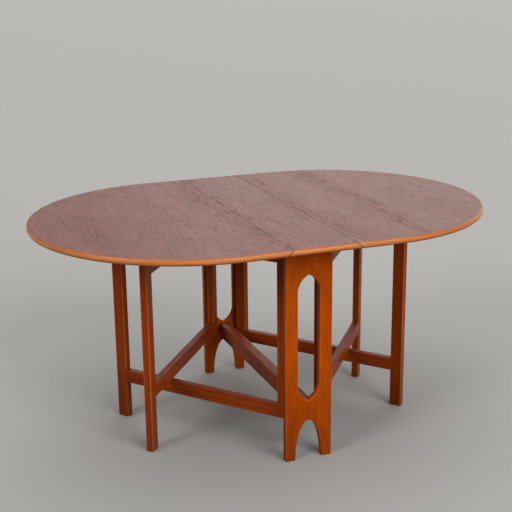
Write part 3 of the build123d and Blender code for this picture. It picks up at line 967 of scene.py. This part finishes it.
def lipping_tree():
    """A tree that draws a section with two rounded corners along a path."""
    round_steps = 9
    tree = geometry_tree(
        "lipping", {"Path": "Geometry", "Width": "Float", "Thickness": "Float", "Edge round": "Float",
                    "Finish": "Material"}, "Lipping")
    given = add_node(tree, "NodeGroupInput").outputs
    path = add_node(tree, "GeometryNodeMeshToCurve", {"Mesh": given["Path"]})
    level_path = add_node(tree, "GeometryNodeSetCurveNormal", {"Curve": path.outputs[0]}, mode="Z_UP")
    section = add_node(
        tree, "GeometryNodeCurvePrimitiveQuadrilateral",
        {"Width": given["Width"], "Height": given["Thickness"]}, mode="RECTANGLE")
    place = add_node(tree, "GeometryNodeInputPosition")
    sides = add_node(tree, "ShaderNodeSeparateXYZ", {0: place.outputs[0]})
    outside = add_node(tree, "ShaderNodeMath", {0: sides.outputs["X"], 1: 0.0}, operation="GREATER_THAN")
    radius = add_node(
        tree, "ShaderNodeMath", {0: outside.outputs[0], 1: given["Edge round"]}, operation="MULTIPLY")
    rounded = add_node(
        tree, "GeometryNodeFilletCurve",
        {"Curve": section.outputs[0], "Count": round_steps, "Radius": radius.outputs[0]}, mode="POLY")
    swept = add_node(
        tree, "GeometryNodeCurveToMesh",
        {"Curve": level_path.outputs[0], "Profile Curve": rounded.outputs[0], "Fill Caps": True})
    real = add_node(tree, "GeometryNodeRealizeInstances", {0: swept.outputs[0]})
    coloured = add_node(
        tree, "GeometryNodeSetMaterial", {"Geometry": real.outputs[0], "Material": given["Finish"]})
    add_node(tree, "NodeGroupOutput", {"Lipping": coloured.outputs[0]})
    return tree


lipping_nodes = lipping_tree()
print("lipping tree has", len(lipping_nodes.nodes), "nodes")

# %% [markdown]
# A tree works on an object, so a carrier with the path as its mesh gets the tree as a modifier. What
# comes out is kept as a plain mesh, and the carrier is removed.

# %% Run the tree along a path
lipping_round = 7 * mm


def nodes_mesh(name, mesh, tree, values):
    """The plain mesh that a node tree makes from a start mesh and named sizes."""
    carrier = new_object(name, mesh)
    modifier = carrier.modifiers.new(name, "NODES")
    modifier.node_group = tree
    for item in tree.interface.items_tree:
        if item.in_out == "INPUT" and item.name in values:
            modifier[item.identifier] = values[item.name]
    made = plain_mesh(carrier)
    bpy.data.objects.remove(carrier)
    return made


def lipping_along(path):
    """A lipping whose middle follows a path, at the height of the top."""
    middle = (underside + top_height) / 2
    mesh = bpy.data.meshes.new("lipping_path")
    mesh.from_pydata([(x, y, middle) for x, y in path], [(i, i + 1) for i in range(len(path) - 1)], [])
    sizes = {"Width": lipping_width, "Thickness": top_height - underside, "Edge round": lipping_round,
             "Finish": lipping_teak}
    return nodes_mesh("lipping", mesh, lipping_nodes, sizes)


sample = points_of(lipping_along(right_rim(lipping_width / 2, joint_pin.x)))
print("lipping reaches", sample.max(axis=0).round(4), "from", sample.min(axis=0).round(4))

# %% [markdown]
# At the seam the lipping has the same quarter round and cove as the boards behind it: that is the
# small zigzag in the edge of a drop leaf table. A Boolean modifier cuts it. The leaf's lipping loses
# the space of the cove, and the centre's lipping keeps only what lies inside the strip's own section.
# The sharp edges of the cut are eased and take the dark finish of the seam: dust and wax, and painted shade that
# widens the dark notch.

# %% Cut, grain and wear of a lipping
def carved(mesh, cutter, operation):
    """A mesh after a Boolean with a bmesh, as a new bmesh."""
    tool_mesh = bpy.data.meshes.new("cutter")
    cutter.to_mesh(tool_mesh)
    cutter.free()
    tool = new_object("cutter", tool_mesh)
    block = new_object("block", mesh)
    cut = block.modifiers.new("cut", "BOOLEAN")
    cut.operation = operation
    cut.solver = "EXACT"
    cut.object = tool
    result = bmesh.new()
    result.from_mesh(plain_mesh(block))
    for item in (tool, block):
        bpy.data.objects.remove(item)
    return result


def rim_grain(points):
    """Grain that follows the rim of a leaf: across it, along it and through it."""
    out = np.maximum(np.abs(points[:, 0]) - end_centre, 0)
    straight = np.minimum(np.abs(points[:, 0]) - end_centre, 0)
    across = np.hypot(out, points[:, 1]) - half_width
    angle = np.arctan2(points[:, 1], np.maximum(out, 1e-9))
    along = angle * half_width - np.sign(points[:, 1]) * straight
    return np.stack([across, along, points[:, 2]], axis=1)


def rubbed_and_highlit_middle(points):
    """Wear and a painted highlight on a lipping: a band full a little above mid height, where sleeves touch it and
    the highlight lies, none at its corners.
    """
    rubbed_and_highlit_height = (underside + top_height) / 2 + 1.5 * mm
    fully_worn_and_highlit, fade = 2 * mm, 5 * mm
    return np.clip(1 - (np.abs(points[:, 2] - rubbed_and_highlit_height) - fully_worn_and_highlit) / fade, 0, 1)


def eased_joint(shape):
    """Ease the outer edges of the cut, and give the eased edges the dark finish of the seam, as dust and painted
    shade.
    """
    eased = 1.8 * mm
    shape = dust_in_seam(veneer_on_top(shape))
    looks_at = {edge: {face.material_index for face in edge.link_faces} for edge in shape.edges}
    outer = [edge for edge, found in looks_at.items() if found == {wood_look, seam_look}]
    # The eased edges get the dark seam finish: dust, and painted shade that widens the notch.
    soften(shape, outer, eased, steps=2, look=seam_look)
    print("eased", len(outer), "edges, open edges left:", sum(not edge.is_manifold for edge in shape.edges))
    return shape


print("lippings can be cut")

# %% [markdown]
# The cutters are the sections of the joint again, made a little larger where they leave the wood, so
# that no cut runs along a face of the lipping.

# %% Make the lippings of the leaves
spare = 2 * mm
reach = half_width + spare
cove_space = cove + [
    (joint_pin.x + seam_gap, top_height + spare), (joint_pin.x - spare, top_height + spare),
    (joint_pin.x - spare, underside - spare), (joint_pin.x + cove_radius, underside - spare)]
for side in ("right", "left"):
    rim = lipping_along(right_rim(lipping_width / 2, joint_pin.x))
    shape = on_side(carved(rim, along_y(cove_space, -reach, reach), "DIFFERENCE"), side)
    looks = [top_look, (lipping_teak, new_plank(rim_grain)), (dust_and_shade_teak, along_top)]
    finish_piece(f"{side}_leaf_lipping_teak", eased_joint(shape), f"{side}_leaf", looks,
                 [f"{side}_leaf_lipping"], rubbed_and_highlit_middle)
print("leaf lippings made")

# %% The two ends of the centre strip
strip_half = [(joint_pin.x, top_height + spare)] + quarter_round
strip_half += [(joint_pin.x + round_radius, underside - spare)]
strip_section = strip_half + [(-x, z) for x, z in reversed(strip_half)]
strip_reach = edge_high.x + spare
end_y = half_width - lipping_width / 2
near_path = [(-strip_reach, -end_y), (strip_reach, -end_y)]
far_path = [(strip_reach, end_y), (-strip_reach, end_y)]
both_ends = joined(
    [carved(lipping_along(path), along_y(strip_section, -reach, reach), "INTERSECT")
     for path in (near_path, far_path)])
looks = [top_look, (lipping_teak, new_plank(straight_grain((1, 0, 0), (0, 1, 0)))), (dust_and_shade_teak, along_top)]
finish_piece("centre_lipping_teak", eased_joint(both_ends), "frame", looks,
             ["centre_lippings"], rubbed_and_highlit_middle)
print("centre lippings made")

# %% [markdown]
# ## Blocks under the top
# Small blocks do the quiet work: stops that the legs come to rest against, and cleats that hold the
# panels to the top. Each CAD node holds several of them, so its mesh is taken apart into loose solids
# and every solid gives the size and place of one block.

# %% Take a node apart into its solids
def loose_solids(node):
    """The separate solids of a CAD node, each as rows of points."""
    shape = bmesh.new()
    shape.from_mesh(nodes[node].data)
    bmesh.ops.remove_doubles(shape, verts=shape.verts, dist=touching)
    left = set(shape.verts)
    solids = []
    for start in shape.verts:
        # The list grows while it is walked, until no neighbour is left to add.
        found = [start] if start in left else []
        left.difference_update(found)
        for vert in found:
            neighbours = [edge.other_vert(vert) for edge in vert.link_edges]
            fresh = [other for other in neighbours if other in left]
            left.difference_update(fresh)
            found.extend(fresh)
        if found:
            solids.append(np.array([vert.co for vert in found]))
    shape.free()
    return solids


print("stops under the right leaf:", len(loose_solids("right_gate_stops")))

# %% [markdown]
# The stops stand square to the gates that they stop, so each is measured in the directions of the gate
# whose leg is nearest. The cleats are square to the room.

# %% Make the stops and cleats
def block_shape(points, directions):
    """A bar that fills the span of some points in the given directions."""
    block = bar(*span(points, directions), hidden_edge, hidden_edge)
    bmesh.ops.transform(block, matrix=directions, verts=block.verts)
    return block


def nearest_gate(points):
    """The directions of the gate whose leg stands nearest to a stop."""
    centre = Vector(points.mean(axis=0))
    return gate_directions(min(
        gates, key=lambda gate: (sum(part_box(f"{gate}_leg"), Vector()) / 2 - centre).xy.length))


for side in ("left", "right"):
    stops = loose_solids(f"{side}_gate_stops")
    shape = joined([block_shape(points, nearest_gate(points)) for points in stops])
    look = (frame_teak, new_plank(along_top))
    finish_piece(f"{side}_gate_stops_teak", shape, f"{side}_leaf", [look],
                 [f"{side}_gate_stops"])
shape = joined([block_shape(points, Matrix.Identity(4)) for points in loose_solids("top_cleats")])
look = (frame_teak, new_plank(straight_grain((0, 0, 1), (0, 1, 0))))
finish_piece("top_cleats_teak", shape, "frame", [look], ["top_cleats"])
print("stops and cleats made")

# %% [markdown]
# ## Brass, steel and beech
# The hinges are rolled brass that has dulled in the air: still a metal, but brown in patches and
# finely scratched along the plate. The screws are plain steel. The dowels are turned beech, pale and
# flecked, and stay hidden in their joints.

# %% Metals
def worn_metal(name, bright, dull, roughness, patch_width, scratch_width):
    """A metal with duller patches and fine scratches, on Object coordinates."""
    faint_patch, full_patch = 0.4, 0.65
    smoothest, roughest = roughness - 0.1, roughness + 0.25
    scratch_length = 30 * scratch_width
    scratch_strength, scratch_depth = 0.2, 0.05 * mm
    material, tree, shader = new_material(name)
    place = add_node(tree, "ShaderNodeTexCoord").outputs["Object"]
    patches = drawn_out_cloud(tree, place, (patch_width, patch_width), detail=4.0)
    scratches = drawn_out_cloud(tree, place, (scratch_width, scratch_length))
    patch = add_node(
        tree, "ShaderNodeMapRange", {0: patches, 1: faint_patch, 2: full_patch}, clamp=True)
    colour = add_node(
        tree, "ShaderNodeMix", {0: patch.outputs[0], 6: linear(bright), 7: linear(dull)},
        data_type="RGBA")
    rough = add_node(
        tree, "ShaderNodeMapRange", {0: patches, "To Min": smoothest, "To Max": roughest})
    bump = add_node(
        tree, "ShaderNodeBump",
        {"Height": scratches, "Strength": scratch_strength, "Distance": scratch_depth})
    tree.links.new(colour.outputs[2], shader.inputs["Base Color"])
    tree.links.new(rough.outputs[0], shader.inputs["Roughness"])
    tree.links.new(bump.outputs[0], shader.inputs["Normal"])
    shader.inputs["Metallic"].default_value = 1.0
    return material


hinge_brass = worn_metal("dulled_rolled_brass", "96753C", "4A3520", 0.48, 9 * mm, 0.4 * mm)
screw_steel = worn_metal("plain_steel", "A9A6A0", "6E6A63", 0.42, 3 * mm, 0.3 * mm)
print("metals:", hinge_brass.name, screw_steel.name)

# %% Beech for the dowels
beech_pale, beech_fleck = "D9B98C", "B98E5E"
fleck_size = (1.5 * mm, 12 * mm)
beech_roughness = 0.6

beech, beech_tree, beech_shader = new_material("turned_beech")
beech_place = add_node(beech_tree, "ShaderNodeTexCoord").outputs["Object"]
flecks = drawn_out_cloud(beech_tree, beech_place, fleck_size, detail=3.0)
beech_colour = add_node(
    beech_tree, "ShaderNodeMix", {0: flecks, 6: linear(beech_pale), 7: linear(beech_fleck)},
    data_type="RGBA")
beech_tree.links.new(beech_colour.outputs[2], beech_shader.inputs["Base Color"])
beech_shader.inputs["Roughness"].default_value = beech_roughness
print("beech ready")

# %% [markdown]
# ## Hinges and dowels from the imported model
# The hinge flaps with their barrels, the pins and the dowels already have the right shape, so they
# stay as they are and only get their finish.

# %% Give the carried-over nodes their finish
for name, node in nodes.items():
    if name.endswith(("flaps", "pins")):
        node.material_slots[0].material = hinge_brass
    elif name.endswith("dowels"):
        node.material_slots[0].material = beech
print("carried over:", [n for n in nodes if n.endswith(("flaps", "pins", "dowels"))])

# %% [markdown]
# ## Screws
# Every screw is the same slotted countersunk screw, only the lengths differ, so Geometry Nodes places
# them. A point mesh per body says where each head sits, which way the screw goes and how long it is.
# The tree cuts a slot in a cone, sets a head and a shank on every point and turns each one by chance,
# because no one leaves slots in line under a table.

# %% The node tree for screws
def screw_tree():
    """A tree that sets a slotted screw on every point, along its way and as long as it says."""
    head_sides, shank_sides = 20, 12
    tree = geometry_tree(
        "slotted_screws", {"Places": "Geometry", "Head radius": "Float", "Head depth": "Float",
                           "Shank radius": "Float", "Slot width": "Float", "Slot depth": "Float",
                           "Slot length": "Float", "Seed": "Int", "Finish": "Material"}, "Screws")
    given = add_node(tree, "NodeGroupInput").outputs
    cone = add_node(
        tree, "GeometryNodeMeshCone",
        {"Vertices": head_sides, "Radius Top": given["Shank radius"],
         "Radius Bottom": given["Head radius"], "Depth": given["Head depth"]})
    slot_size = add_node(
        tree, "ShaderNodeCombineXYZ",
        {"X": given["Slot length"], "Y": given["Slot width"], "Z": given["Slot depth"]})
    slot = add_node(tree, "GeometryNodeMeshCube", {"Size": slot_size.outputs[0]})
    head = add_node(
        tree, "GeometryNodeMeshBoolean", {"Mesh 1": cone.outputs[0], "Mesh 2": slot.outputs[0]},
        operation="DIFFERENCE", solver="EXACT")
    shank = add_node(
        tree, "GeometryNodeMeshCylinder",
        {"Vertices": shank_sides, "Radius": given["Shank radius"], "Depth": 1.0})
    stood = add_node(
        tree, "GeometryNodeTransform", {"Geometry": shank.outputs[0], "Translation": (0, 0, 0.5)})
    way = add_node(tree, "GeometryNodeInputNamedAttribute", {"Name": "way"}, data_type="FLOAT_VECTOR")
    length = add_node(tree, "GeometryNodeInputNamedAttribute", {"Name": "length"}, data_type="FLOAT")
    aimed = add_node(tree, "FunctionNodeAlignRotationToVector", {"Vector": way.outputs[0]}, axis="Z")
    spin = add_node(
        tree, "FunctionNodeRandomValue", {"Max": (0, 0, math.tau), "Seed": given["Seed"]},
        data_type="FLOAT_VECTOR")
    turned = add_node(
        tree, "FunctionNodeRotateRotation",
        {"Rotation": aimed.outputs[0], "Rotate By": spin.outputs[0]}, rotation_space="LOCAL")
    heads = add_node(
        tree, "GeometryNodeInstanceOnPoints",
        {"Points": given["Places"], "Instance": head.outputs[0], "Rotation": turned.outputs[0]})
    stretch = add_node(tree, "ShaderNodeCombineXYZ", {"X": 1.0, "Y": 1.0, "Z": length.outputs[0]})
    shanks = add_node(
        tree, "GeometryNodeInstanceOnPoints",
        {"Points": given["Places"], "Instance": stood.outputs[0], "Rotation": aimed.outputs[0],
         "Scale": stretch.outputs[0]})
    whole = add_node(tree, "GeometryNodeJoinGeometry", {0: heads.outputs[0]})
    tree.links.new(shanks.outputs[0], whole.inputs[0])
    real = add_node(tree, "GeometryNodeRealizeInstances", {0: whole.outputs[0]})
    coloured = add_node(
        tree, "GeometryNodeSetMaterial", {"Geometry": real.outputs[0], "Material": given["Finish"]})
    add_node(tree, "NodeGroupOutput", {"Screws": coloured.outputs[0]})
    return tree


screw_nodes = screw_tree()
print("screw tree has", len(screw_nodes.nodes), "nodes")

# %% [markdown]
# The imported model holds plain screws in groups. Each one is long and thin, so the main direction of its
# points is its axis, and the wider of its two ends is its head.

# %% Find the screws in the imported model
end_depth = 0.05 * mm


def screw_places(node):
    """For each screw of a CAD node: the middle of its head, its direction and its length."""
    places = []
    for points in loose_solids(node):
        centre = points.mean(axis=0)
        axis = np.linalg.svd(points - centre)[2][0]
        depth = (points - centre) @ axis
        ends = [points[np.abs(depth - end) < end_depth] for end in (depth.min(), depth.max())]
        spread = [np.linalg.norm(end - end.mean(axis=0), axis=1).max() for end in ends]
        head, tip = ends if spread[0] > spread[1] else ends[::-1]
        way = tip.mean(axis=0) - head.mean(axis=0)
        length = np.linalg.norm(way)
        places.append((head.mean(axis=0), way / length, length))
    return places


print("first cleat screw:", [np.round(value, 4).tolist() for value in screw_places("cleat_screws")[0]])

# %% Make the screws of each body
screw_sizes = {"Head radius": 3.6 * mm, "Head depth": 1.8 * mm, "Shank radius": 1.75 * mm,
               "Slot width": 0.9 * mm, "Slot depth": 1.6 * mm, "Slot length": 20 * mm,
               "Finish": screw_steel}
body_nodes = frame["record"]["behaviour"]["bodies"]
for seed, (body, members) in enumerate(body_nodes.items()):
    screw_groups = [node for node in members if node.endswith("screws")]
    places = [place for node in screw_groups for place in screw_places(node)]
    mesh = bpy.data.meshes.new("screw_places")
    mesh.from_pydata([place[0] for place in places], [], [])
    paint(mesh, "way", "FLOAT_VECTOR", "vector", [place[1] for place in places])
    paint(mesh, "length", "FLOAT", "value", [place[2] for place in places])
    made = nodes_mesh("screws", mesh, screw_nodes, screw_sizes | {"Seed": seed})
    screws = new_object(f"{body}_screws", made)
    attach(screws, body)
    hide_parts(*screw_groups)
    print(screws.name, len(places), "screws")

# %% [markdown]
# ## The size of the imported model
# The box that the imported model fills is printed, corner to corner.

# %% Print the box of the imported model
print("CAD box", [[round(x, 4) for x in corner] for corner in cad_box])
